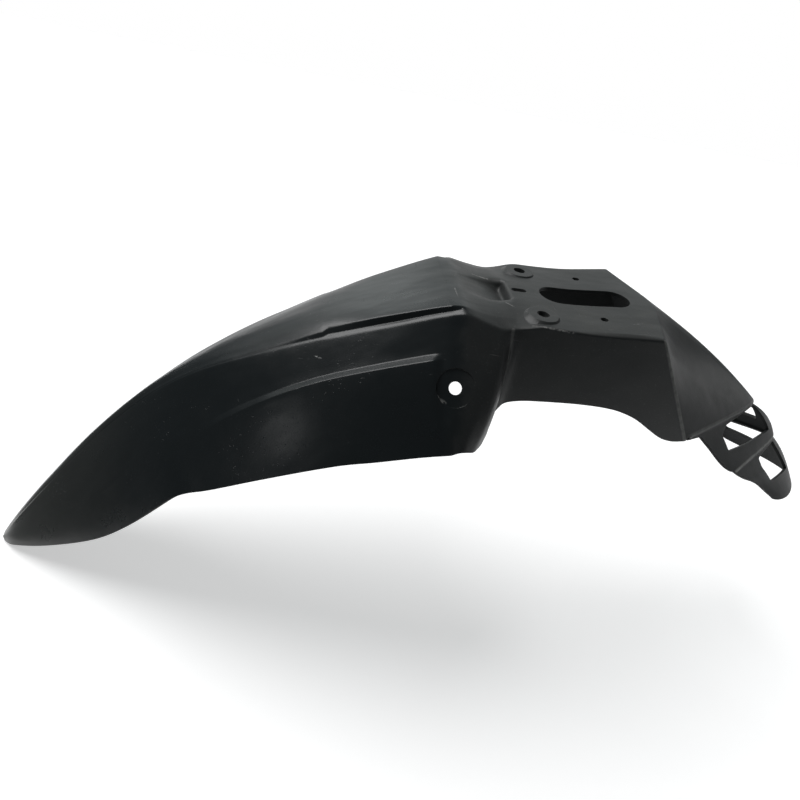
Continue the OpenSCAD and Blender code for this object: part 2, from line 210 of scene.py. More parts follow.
def beak_row(a):
    """The deck slopes to the crest ahead of the vent, and stands above it in a step behind."""
    r = DECK_R + curve(DECK_OVER, a)
    w = DECK_HALF_W * curve(DECK_SHARE, a)
    low, rise = curve(FRONT_RISE, a), curve(DECK_RISE, a)
    square = ramp(SQUARE_START, SQUARE_FULL, a)
    vent = ramp(VENT_TIP, VENT_TIP + VENT_RUN, a)
    step = lerp(VENT_STEP, VENT_STEP * VENT_REAR_SHARE, (a - VENT_TIP) / (RIM_ANGLE - VENT_TIP))
    flat = lerp(FLAT_AT_TIP, FLAT_AT_RIM, ramp(VENT_TIP, RIM_ANGLE, a))
    grown = CREST_GROWTH * ramp(CREST_START, CREST_FULL, a) * (1 - ramp(VENT_TIP, CREST_END, a))
    lift, crest_w = CREST_SLOPE * grown, w + grown
    top = about_axle(a, r + lift, crest_w)
    hem = about_axle(a, HEM_R + curve(HEM_OVER, a), BEAK_HALF_W * curve(HEM_SHARE, a))
    step_out = LEDGE_STEP * ramp(LEDGE_TIP, LEDGE_FULL, a) * (1 - ramp(LEDGE_END, LEDGE_END + LEDGE_FADE, a))

    def height(u):
        return lerp(lift + low * (1 - u * u), rise * (1 - u ** 8), square)

    ahead = [(w * u, height(u)) for u in (0, 0.3, 0.55, 0.75)]
    ahead += [(crest_w * 0.88, height(0.88)), (crest_w * 0.95, lift + 0.45 * (height(0.95) - lift))]
    behind = [(w * u, height(u)) for u in (0, 0.3, flat * 0.75, flat)]
    edge = lerp(height(0.87), max(step, rise * 0.8), ramp(VENT_TIP, -15, a))
    behind += [(w - 4, edge), (crest_w - 3.4, lift + 0.7)]
    inner = [about_axle(a, r + lerp(p[1], q[1], vent), lerp(p[0], q[0], vent))
             for p, q in zip(ahead, behind)]
    return inner + [lip(p) for p in wall_row(top, hem, SIDE_BULGE, curve(LEDGE_AT, a), step_out)]


# Rows behind the beak
def row(inner, top, hem, bulge=0.0, sweep=0.0):
    return inner + wall_row(top, hem, bulge, PLAIN_LEDGE, 0, sweep)


def across(x, ys, zs):
    return [point(x, y, z) for y, z in zip(ys, zs)]


T_W = TROUGH_HALF_W
FRONT_W = PLATE_FRONT_HALF_W


def rear_rows():
    return [
        row(across(-76, [0, T_W - 2, T_W, 26, 38, 41], [0.5, 0.5, 0.4, 0.4, 0.2, -0.4]),
            point(-75, 45, -1.5), about_axle(-7.7, HEM_R + 1.5, BEAK_HALF_W - 0.5), SIDE_BULGE - 1.8, 1.5),
        row(across(-66, [0, T_W - 2, T_W + 2, 27, 38, 42], [-2.2, -2.2, -1.8, -2, -2.6, -3.2]),
            point(-63, 47, -4.6), about_axle(-7, HEM_R + 1, BEAK_HALF_W - 1.5), SIDE_BULGE - 1.2, 4),
        row(across(-55, [0, T_W - 2, T_W + 2, 27, 38, 43], [-5, -5, -2.8, -3, -4.2, -5.4]),
            point(-51, FRONT_W + 1, -7), point(-60, BEAK_HALF_W - 6, -(WAIST_DEPTH + 21.5)), SIDE_BULGE, 5),
        row(across(-50, [0, T_W - 2, T_W + 2, 27, 38, 43], [-6.2, -6.2, -2.6, -2.8, -4.2, -5.6]),
            point(-47.5, FRONT_W + 0.5, -7), point(-53, 81, -(WAIST_DEPTH + 23)), 2, 4.5),
        row(across(-46, [0, T_W - 2, T_W + 2, 27, 38, 43], [-7.2, -7.2, -2, -2.4, -3.8, -5.4]),
            point(-44, FRONT_W, -6.6), point(-47.5, 71, -(WAIST_DEPTH + 20.5)), 0, 1.5)]


WAIST_TOP = [(0, (-41, FRONT_W, PLATE_Z - 5.4)), (0.08, (-35, FRONT_W + 0.6, PLATE_Z - 4)),
             (0.14, (-29.5, FRONT_W + 1.2, PLATE_Z - 1.6)), (0.2, (-24, FRONT_W + 1.6, PLATE_Z - 0.6)),
             (0.35, (-6, 51, PLATE_Z - 1)), (0.6, (22, 52.5, PLATE_Z)),
             (0.85, (46, PLATE_REAR_HALF_W - 1, PLATE_TAIL_Z - 1)),
             (1, (PLATE_REAR, PLATE_REAR_HALF_W, PLATE_TAIL_Z))]
WAIST_HEM = [(0, (-44, WAIST_DEPTH + 12.5)), (0.035, (-40.5, WAIST_DEPTH + 8)),
             (0.08, (-36, WAIST_DEPTH + 5.4)), (0.14, (-30, WAIST_DEPTH + 3.4)),
             (0.2, (-24, WAIST_DEPTH + 2.4)), (0.3, (-10, WAIST_DEPTH + 1)),
             (0.5, (22, WAIST_DEPTH - 0.5)), (0.7, (51, WAIST_DEPTH + 2)), (0.8, (67, WAIST_DEPTH + 9)),
             (0.88, (82, WAIST_DEPTH + 18.5)), (0.94, (94, WAIST_DEPTH + 22)), (1, (106, WAIST_DEPTH + 20))]
HEM_FLARE = 8.0


def waist_row(t):
    top = curve(WAIST_TOP, t)
    h = curve(WAIST_HEM, t)
    flare = HEM_FLARE * (1 - ramp(-0.02, 0.1, t))
    hem = point(h[0], top[1] + WAIST_DRAFT * (1 - 0.6 * t) + flare, -h[1])
    mid = lerp(top[0], PLATE_POINT, t ** 4)
    edge = top[1]
    sunk = TROUGH_DEPTH * (1 - ramp(-PLATE_FRONT - 2.5, -PLATE_FRONT, top[0]))
    inner = []
    for y in (0, T_W - 2, T_W, 27, 38, edge - 3):
        x = lerp(mid, top[0], math.sqrt((y / edge) ** 2 + 0.01))
        flank = min(0, top[2] - PLATE_Z) * (y / edge) ** 2
        z = lerp(PLATE_Z, PLATE_TAIL_Z, ramp(0, PLATE_REAR, x)) + flank
        inner.append(point(x, y, z - sunk if y < T_W - 1 else z))
    return row(inner, top, hem)


# Lines that run from the crown to the free edge, pointed in plan
ROUND_SHARE = 0.12
SHARES = [j / (ROW_POINTS - 1) for j in range(ROW_POINTS)]


def vee(u, c=ROUND_SHARE):
    return (math.sqrt(u * u + c * c) - c) / (math.sqrt(1 + c * c) - c)


def keel(u, crown, edge):
    return point(lerp(crown[0], edge[0], vee(u)), edge[1] * u, lerp(crown[2], edge[2], vee(u)))


def risen(p, u, t, rise):
    return p + away(p) * 4 * t * (1 - t) * (1 - u * u) * rise


# The rear panel spans from the plate's rear edge and the walls' rear creases to the lip
PLATE_CROWN = point(PLATE_POINT, 0, PLATE_TAIL_Z)
PLATE_CORNER = point(PLATE_REAR, PLATE_REAR_HALF_W, PLATE_TAIL_Z)
LIP_CROWN = point(LIP_POINT, 0, -LIP_DROP)
LIP_EDGE = point(108, 57, -(LIP_DROP + 4))


def panel_at(u, t):
    line = keel(u, lerp(PLATE_CROWN, LIP_CROWN, t), lerp(PLATE_CORNER, LIP_EDGE, t))
    return risen(line, u, t, PANEL_BULGE)


PANEL_TOP = waist_row(1)
PANEL_START = ([point(p[1] / PLATE_REAR_HALF_W, 0) for p in PANEL_TOP[:TOP_EDGE]]
               + [point(1, share) for share in wall_shares(PLAIN_LEDGE)])


def panel_row(t):
    points = []
    for top, start, share in zip(PANEL_TOP, PANEL_START, SHARES):
        d = lerp(start, point(share, 1), t)
        points.append(panel_at(d[0], d[1]) + (top - panel_at(start[0], start[1])) * (1 - t))
    return points


LIP_LOW_ROW = [keel(u, LIP_CROWN, LIP_EDGE) - point(0, 0, LIP_H) for u in SHARES]

# The tail hangs from inside the lip, with a cross ridge part way down and a round end
TAIL_CROWN = point(LIP_POINT - TAIL_INSET, 0, -(LIP_DROP + LIP_H + 0.5))
TAIL_EDGE = point(LIP_EDGE[0] + 17, 48.4, LIP_EDGE[2] - LIP_H - 1.5)
RIDGE_CROWN = point(RIDGE_POINT, 0, -RIDGE_DROP)
RIDGE_EDGE = point(172, 49.5, -(RIDGE_DROP + 7))
HEM_SAG = [(0, 0), (0.4, 2.3), (0.65, 4.2), (0.85, 3.1), (1, 0)]
STEP_IN = point(-0.6, 0, -0.8) * RIDGE_STEP
END_EDGE = RIDGE_EDGE + STEP_IN - point(0, RIDGE_STEP, 0)
END_X = 226.0
END_SWAY = [(0, (0, 0, 0)), (0.2, (3.2, 0, -0.4)), (0.45, (2.1, 0, 3.1)), (0.75, (0.1, 0, 2.5)),
            (1, (0, 0, 0))]


def tail_at(u, t):
    edge = lerp(TAIL_EDGE, RIDGE_EDGE, t) - point(0, 0, curve(HEM_SAG, t))
    return risen(keel(u, lerp(TAIL_CROWN, RIDGE_CROWN, t), edge), u, t, TAIL_BULGE)


def end_curve(u):
    a = math.radians(90 * u)
    return point(END_X + (TAIL_POINT - END_X) * max(0.0, math.cos(a)) ** 1.3, TAIL_HALF_W * math.sin(a),
                 1.5 * u * u - 3.5 * math.sin(2 * a) - TAIL_DROP)


def end_at(u, t):
    straight = lerp(keel(u, RIDGE_CROWN + STEP_IN, END_EDGE), end_curve(u), t)
    return risen(straight + curve(END_SWAY, t) * u * u, u, t, TAIL_BULGE * 0.55)


def across_tail(surface, t):
    return [surface(u, t) for u in SHARES]


def spaced(start, end, step):
    return list(np.arange(start, end + step * 0.5, step))


BEAK_ANGLES = ([-NOSE_ANGLE, -74.2, -73.3, -72, -70] + spaced(-67.5, -43, 3.5)
               + [-41, -38.5, -36, -33, -30.5, -28, -25, -22.5, -21.3, VENT_TIP, VENT_TIP + VENT_RUN]
               + [-19.4, -17, -15, -13, -11.4, LEDGE_END, LEDGE_END + LEDGE_FADE, RIM_ANGLE - 0.6])
WAIST_STEPS = (0, 0.035, 0.08, 0.2, 0.32, 0.44, 0.56, 0.66, 0.76, 0.84, 0.9, 0.95, 1)
PANEL_STEPS = (0.12, 0.3, 0.5, 0.7, 0.88, 1)
TAIL_STEPS = (0, 0.15, 0.35, 0.55, 0.75, 0.92, 1)
END_STEPS = (0, 0.1, 0.22, 0.38, 0.55, 0.75, 0.9, 1)

# Rounding radii; a soft row or column is rounded as far as its neighbours allow
SOFT, CRISP = 99.0, 0.8
PLATE_FRONT_ROUND, CREASE_ROUND, LIP_ROUND = 3.0, 2.2, 2.0
COLUMN_ROUND = [SOFT, 6, 6, 4, 1.0, 0.8, 1.4, SOFT, SOFT, 0.6, 0.6] + [SOFT] * 5


def all_rows():
    """Every control row from nose to tail, with the radius to which the surface is rounded across it."""
    rows = [(beak_row(a), CRISP if VENT_TIP <= a <= VENT_TIP + VENT_RUN else SOFT) for a in BEAK_ANGLES]
    last, after = rows[-1][0], rear_rows()[0]
    below = slice(TOP_EDGE + 1, ROW_POINTS)
    vent_end = (beak_row(RIM_ANGLE - 0.1)[:TOP_EDGE + 1]
                + [lerp(p, q, 0.45) for p, q in zip(last[below], after[below])])
    rows += [(vent_end, CRISP)] + [(r, PLATE_FRONT_ROUND) for r in rear_rows()]
    rows += [(waist_row(t), CREASE_ROUND if t in (0, 1) else SOFT) for t in WAIST_STEPS]
    rows += [(panel_row(t), LIP_ROUND if t == 1 else SOFT) for t in PANEL_STEPS]
    rows += [(LIP_LOW_ROW, CRISP)]
    rows += [(across_tail(tail_at, t), CRISP if t in (0, 1) else SOFT) for t in TAIL_STEPS]
    rows += [(across_tail(end_at, t), CRISP if t == 0 else SOFT) for t in END_STEPS]
    return rows


def mirrored(half):
    return [point(p[0], -p[1], p[2]) for p in half[:0:-1]] + list(half)


def spans(net):
    """From each row's neighbour before it to the one after it, or from the row itself at an end."""
    out = np.empty_like(net)
    out[1:-1] = net[2:] - net[:-2]
    out[0], out[-1] = net[1] - net[0], net[-1] - net[-2]
    return out


def offset_net(net, distance):
    """The net moved inward along its own normals."""
    normal = np.cross(spans(net), spans(net.transpose(1, 0, 2)).transpose(1, 0, 2))
    normal /= np.linalg.norm(normal, axis=2, keepdims=True)
    return net - normal * distance


ARC_POINTS = 4
ARC_SHARE = 0.42


def arc(start, corner, end, count):
    """Points of a parabolic arc that rounds a corner."""
    points = []
    for k in range(count):
        t = k / (count - 1)
        points.append(start * (1 - t) ** 2 + corner * 2 * t * (1 - t) + end * t * t)
    return points


def rounded(net, radii):
    """The net with an arc in place of each inner row, no wider than its radius or its neighbours allow."""
    out = [net[0]]
    for i in range(1, len(net) - 1):
        ends = []
        for run in (net[i - 1] - net[i], net[i + 1] - net[i]):
            length = np.linalg.norm(run, axis=-1, keepdims=True)
            ends.append(net[i] + run / length * np.minimum(radii[i], ARC_SHARE * length))
        out += arc(ends[0], net[i], ends[1], ARC_POINTS)
    out.append(net[-1])
    return np.array(out)


def dense(net, row_radii, column_radii):
    net = rounded(net, row_radii)
    return rounded(net.transpose(1, 0, 2), column_radii).transpose(1, 0, 2)


def shell_mesh():
    """Outer and inner skins with their rims, as one closed mesh."""
    rows = all_rows()
    net = np.array([mirrored(r) for r, _ in rows])
    row_radii = [r for _, r in rows]
    column_radii = COLUMN_ROUND[:0:-1] + COLUMN_ROUND
    skins = [dense(skin, row_radii, column_radii) for skin in (net, offset_net(net, WALL))]
    n, m = skins[0].shape[:2]
    points = np.concatenate([s.reshape(-1, 3) for s in skins]) * MM

    def at(i, j, s):
        return s * n * m + i * m + j

    faces = []
    for i in range(n - 1):
        for j in range(m - 1):
            faces.append((at(i, j, 0), at(i, j + 1, 0), at(i + 1, j + 1, 0), at(i + 1, j, 0)))
            faces.append((at(i, j, 1), at(i + 1, j, 1), at(i + 1, j + 1, 1), at(i, j + 1, 1)))
        faces.append((at(i, 0, 0), at(i + 1, 0, 0), at(i + 1, 0, 1), at(i, 0, 1)))
        faces.append((at(i, m - 1, 0), at(i, m - 1, 1), at(i + 1, m - 1, 1), at(i + 1, m - 1, 0)))
    for j in range(m - 1):
        faces.append((at(0, j, 0), at(0, j, 1), at(0, j + 1, 1), at(0, j + 1, 0)))
        faces.append((at(n - 1, j, 0), at(n - 1, j + 1, 0), at(n - 1, j + 1, 1), at(n - 1, j, 1)))
    mesh = bpy.data.meshes.new("shell")
    mesh.from_pydata([tuple(p) for p in points], [], faces)
    mesh.validate()
    return mesh


# Cutters
def outline_prism(corners, low, high, place=Matrix(), foot=None):
    """A closed prism over an outline in its own XY plane, with its own outline at the foot if given."""
    bm = bmesh.new()
    bottom = [bm.verts.new((x, y, low)) for x, y in foot or corners]
    top = [bm.verts.new((x, y, high)) for x, y in corners]
    count = len(corners)
    bm.faces.new(bottom[::-1])
    bm.faces.new(top)
    for k in range(count):
        bm.faces.new((bottom[k], bottom[(k + 1) % count], top[(k + 1) % count], top[k]))
    bmesh.ops.recalc_face_normals(bm, faces=bm.faces)
    bmesh.ops.transform(bm, matrix=place, verts=bm.verts)
    bmesh.ops.scale(bm, vec=(MM, MM, MM), verts=bm.verts)
    return bm


def circle(cx, cy, r, sides=64):
    return [(cx + r * math.cos(2 * math.pi * k / sides), cy + r * math.sin(2 * math.pi * k / sides))
            for k in range(sides)]


def stadium(x0, x1, width, sides=24):
    """A slot's outline from x0 to x1 with round ends."""
    r = width / 2
    points = []
    for cx, start in ((x1 - r, -90), (x0 + r, 90)):
        for k in range(sides + 1):
            a = math.radians(start + 180 * k / sides)
            points.append((cx + r * math.cos(a), r * math.sin(a)))
    return points


def round_corners(corners, r, sides=5):
    """An outline with each corner replaced by an arc."""
    out = []
    count = len(corners)
    for k in range(count):
        p = np.array(corners[k])
        before, after = np.array(corners[k - 1]) - p, np.array(corners[(k + 1) % count]) - p
        trim = min(r, 0.45 * np.linalg.norm(before), 0.45 * np.linalg.norm(after))
        out += [tuple(q) for q in arc(p + unit(before) * trim, p, p + unit(after) * trim, sides + 1)]
    return out


# Windows by their corners' places on the tail, across and down
UPPER_WINDOW = [tail_at(u, t) for u, t in
                ((0.05, 0.05), (0.18, 0.73), (0.57, 0.64), (0.84, 0.52), (0.78, 0.2), (0.65, 0.06))]
LOWER_WINDOW = [end_at(u, t) for u, t in
                ((0.14, 0.05), (0.22, 0.67), (0.71, 0.58), (0.64, 0.23), (0.56, 0.08))]
WINDOW_CORNER = 2.0
WINDOW_REACH = 10.0


def placed(x_axis, y_axis, z_axis, origin):
    return Matrix([[x_axis[k], y_axis[k], z_axis[k], origin[k]] for k in range(3)] + [[0, 0, 0, 1]])


def window(at, side):
    normal = unit(np.cross(at[2] - at[0], at[4] - at[1]))
    u = unit(at[2] - at[0])
    v = np.cross(normal, u)
    flat = [((p - at[0]) @ u, (p - at[0]) @ v) for p in at]
    mirror = Matrix.Diagonal((1, side, 1, 1))
    return outline_prism(round_corners(flat, WINDOW_CORNER), -WINDOW_REACH, WINDOW_REACH,
                         mirror @ placed(u, v, normal, at[0]))


SIDE_TURN = 6.0
PAD_TOP_TRIM, PAD_FOOT_GROWTH = 0.6, 2.4
CUT_REACH, BORE_REACH, RECESS_REACH = 20, 15, 12
SHARP_ANGLE = 38


def side_hole_place(side):
    top = about_axle(SIDE_HOLE_ANGLE, DECK_R + curve(DECK_OVER, SIDE_HOLE_ANGLE), DECK_HALF_W)
    hem = about_axle(SIDE_HOLE_ANGLE, HEM_R, BEAK_HALF_W)
    at = lerp(top, hem, 0.5) + point(0, SIDE_BULGE, 0)
    tilt = math.atan2(hem[1] - top[1], top[2] - hem[2])
    turn = Matrix.Rotation(tilt - math.pi / 2, 4, "X") @ Matrix.Rotation(-math.radians(SIDE_TURN), 4, "Y")
    return Matrix.Diagonal((1, side, 1, 1)) @ Matrix.Translation(at) @ turn


def merged(name, parts):
    """One mesh from several bmeshes, which are freed."""
    total = bmesh.new()
    for part in parts:
        bmesh.ops.recalc_face_normals(part, faces=part.faces)
        mesh = bpy.data.meshes.new(name)
        part.to_mesh(mesh)
        part.free()
        total.from_mesh(mesh)
        bpy.data.meshes.remove(mesh)
    mesh = bpy.data.meshes.new(name)
    total.to_mesh(mesh)
    total.free()
    return mesh


def add_object(name, mesh):
    obj = bpy.data.objects.new(name, mesh)
    bpy.context.scene.collection.objects.link(obj)
    return obj


def apply_boolean(target, tool, operation):
    modifier = target.modifiers.new("cut", "BOOLEAN")
    modifier.object = tool
    modifier.operation = operation
    modifier.solver = "EXACT"
    depsgraph = bpy.context.evaluated_depsgraph_get()
    result = bpy.data.meshes.new_from_object(target.evaluated_get(depsgraph))
    target.modifiers.clear()
    target.data = result
    bpy.data.objects.remove(tool)


def build_mudguard():
    guard = add_object("moulded_shell", shell_mesh())
    pads, cuts, bores = [], [], []

    def through(outline):
        cuts.append(outline_prism(outline, -CUT_REACH, CUT_REACH))

    for side in (-1, 1):
        front_y, place = side * FRONT_BOLT_WIDTH / 2, side_hole_place(side)
        pads.append(outline_prism(circle(-BOLT_X, front_y, PAD_D / 2 - PAD_TOP_TRIM), PLATE_Z - WALL, 0,
                                  foot=circle(-BOLT_X, front_y, PAD_D / 2 + PAD_FOOT_GROWTH)))
        through(circle(-BOLT_X, front_y, FRONT_BOLT_D / 2))
        through(circle(BOLT_X, side * REAR_BOLT_WIDTH / 2, REAR_BOLT_D / 2))
        cuts.append(outline_prism(circle(0, 0, SIDE_RECESS_D / 2, 96), -RECESS_DEPTH, RECESS_REACH, place))
        cuts.append(window(UPPER_WINDOW, side))
        cuts.append(window(LOWER_WINDOW, side))
        bores.append(outline_prism(circle(0, 0, SIDE_HOLE_D / 2), -BORE_REACH, BORE_REACH, place))
    through(stadium(-SLOT_FRONT, SLOT_REAR, SLOT_W))
    through(stadium(-KEY_FRONT, -KEY_REAR, KEY_W))
    for name, tools, operation in (("pads", pads, "UNION"), ("cuts", cuts, "DIFFERENCE"),
                                   ("bores", bores, "DIFFERENCE")):
        apply_boolean(guard, add_object(name, merged(name, tools)), operation)
    for polygon in guard.data.polygons:
        polygon.use_smooth = True
    guard.data.set_sharp_from_angle(angle=math.radians(SHARP_ANGLE))
    return guard


# Material
class Graph:
    """Short forms for building a node tree."""

    def __init__(self, tree):
        self.nodes, self.links = tree.nodes, tree.links

    def feed(self, socket, value):
        if isinstance(value, bpy.types.NodeSocket):
            self.links.new(value, socket)
        else:
            socket.default_value = value

    def node(self, kind, **settings):
        made = self.nodes.new(kind)
        for key, value in settings.items():
            setattr(made, key, value)
        return made

    def math(self, operation, *values, clamp=False):
        made = self.node("ShaderNodeMath", operation=operation, use_clamp=clamp)
        for socket, value in zip(made.inputs, values):
            self.feed(socket, value)
        return made.outputs[0]

    def vector(self, operation, *values, scale=None):
        made = self.node("ShaderNodeVectorMath", operation=operation)
        for socket, value in zip(made.inputs, values):
            self.feed(socket, value)
        if scale is not None:
            self.feed(made.inputs["Scale"], scale)
        return made.outputs["Value"] if operation in ("LENGTH", "DOT_PRODUCT") else made.outputs["Vector"]

    def fade(self, value, low, high, at_low=0.0, at_high=1.0):
        """A smooth step of a value between two levels."""
        made = self.node("ShaderNodeMapRange", interpolation_type="SMOOTHSTEP", clamp=True)
        for name, item in zip(("Value", "From Min", "From Max", "To Min", "To Max"),
                              (value, low, high, at_low, at_high)):
            self.feed(made.inputs[name], item)
        return made.outputs["Result"]

    def swing(self, value, amount):
        """How far a value is from a half, times an amount."""
        return self.math("MULTIPLY", self.math("SUBTRACT", value, 0.5), amount)

    def parts(self, vector):
        made = self.node("ShaderNodeSeparateXYZ")
        self.feed(made.inputs[0], vector)
        return made.outputs

    def joined(self, x, y, z):
        made = self.node("ShaderNodeCombineXYZ")
        for socket, value in zip(made.inputs, (x, y, z)):
            self.feed(socket, value)
        return made.outputs[0]

    def bump(self, height, distance, strength, normal, invert=False):
        made = self.node("ShaderNodeBump", invert=invert)
        made.inputs["Distance"].default_value = distance
        for name, value in (("Height", height), ("Strength", strength), ("Normal", normal)):
            self.feed(made.inputs[name], value)
        return made.outputs["Normal"]

    def noise(self, place, scale, detail=2.0, roughness=0.5, distortion=0.0):
        made = self.node("ShaderNodeTexNoise")
        self.feed(made.inputs["Vector"], place)
        made.inputs["Scale"].default_value = scale
        made.inputs["Detail"].default_value = detail
        made.inputs["Roughness"].default_value = roughness
        made.inputs["Distortion"].default_value = distortion
        return made.outputs["Fac"]

    def stretched(self, place, scale, turn=(0, 0, 0)):
        made = self.node("ShaderNodeMapping")
        self.feed(made.inputs["Vector"], place)
        made.inputs["Scale"].default_value = scale
        made.inputs["Rotation"].default_value = turn
        return made.outputs["Vector"]

    def blend(self, factor, a, b):
        made = self.node("ShaderNodeMix", data_type="RGBA")
        self.feed(made.inputs["Factor"], factor)
        self.feed(made.inputs["A"], a)
        self.feed(made.inputs["B"], b)
        return made.outputs["Result"]

    def stroke(self, place, start, end, radius, edge=0.5):
        """One within a radius in millimetres of the line between two points, fading out round it."""
        a, b = Vector(start) * MM, Vector(end) * MM
        run = b - a
        off = self.vector("SUBTRACT", place, tuple(a))
        reach = self.vector("DOT_PRODUCT", off, tuple(run))
        along = self.math("DIVIDE", reach, max(run.length_squared, 1e-9), clamp=True)
        nearest = self.vector("SCALE", tuple(run), scale=along)
        gap = self.vector("LENGTH", self.vector("SUBTRACT", off, nearest))
        return self.fade(gap, radius * (1 - edge) * MM, radius * (1 + edge) * MM, 1.0, 0.0)

    def largest(self, values):
        total = values[0]
        for value in values[1:]:
            total = self.math("MAXIMUM", total, value)
        return total


# Colours, and the places in metres where one finish passes into the next, or where the painted light on the
# nose fades out
DEEP_BLACK = (0.0075, 0.0105, 0.0118, 1)
WORN_BLACK = (0.0165, 0.0182, 0.0182, 1)
# Painted light: the paler black of the nose stands in for the light that falls on it from the left
NOSE_PAINTED_LIGHT = (0.042, 0.044, 0.0415, 1)
INNER_BLACK = (0.013, 0.0145, 0.0145, 1)
DUST = (0.075, 0.075, 0.07, 1)
FINE_MARK = (0.2, 0.2, 0.195, 1)
SCRATCHED = (0.3, 0.3, 0.29, 1)
# Painted highlight and wear: the pale colour laid along the rear creases, rim, lip and ridge
WORN_AND_HIGHLIGHT_PALE = (0.42, 0.42, 0.4, 1)
GLOSS_END, SATIN_START = -0.083, -0.066
NOSE_PALE, NOSE_DARK = -0.4, -0.26
EDGE_RADIUS = 0.0006

# Each scratch from one point to another, with its radius, in millimetres
SCRATCHES = [((-60, 21, -2), (-50, 17, -3), 0.8), ((-72, 30, 0), (-58, 26, -2), 0.4),
             ((-32, -46, -4), (-20, -50, -1), 0.7), ((-21, -49.5, -1.5), (-6, -51, -2), 0.8),
             ((-86, -77, -47), (-84, -78, -48), 1.1), ((-90, -74, -44), (-87, -76.5, -46.5), 0.5),
             ((-176, -36, -47), (-152, -46, -49), 0.5), ((-170, -44, -55), (-150, -52, -56), 0.4),
             ((-44, -20, -2), (-30, -34, -0.6), 0.4), ((30, -40, 1), (48, -34, 3), 0.35),
             ((96, -30, -19), (118, -24, -26), 0.4), ((-79, -12, 0), (-78, -40, -1), 0.45)]


def worn_and_highlit_edges():
    """Lines of wear and painted highlight along the creases, as point lists with a radius and a strength."""
    crease = waist_row(1)
    rim = rear_rows()[-1]
    shares = (0, 0.25, 0.5, 0.75, 1)
    return [([crease[TOP_EDGE], crease[HEM]], 1.3, 0.4), (rim[TOP_EDGE::3], 1.1, 0.16),
            ([keel(u, LIP_CROWN, LIP_EDGE) for u in shares], 1.9, 0.22),
            ([keel(u, RIDGE_CROWN, RIDGE_EDGE) for u in shares], 2.0, 0.6)]


def new_material(name):
    material = bpy.data.materials.new(name)
    material.use_nodes = True
    return material, Graph(material.node_tree)


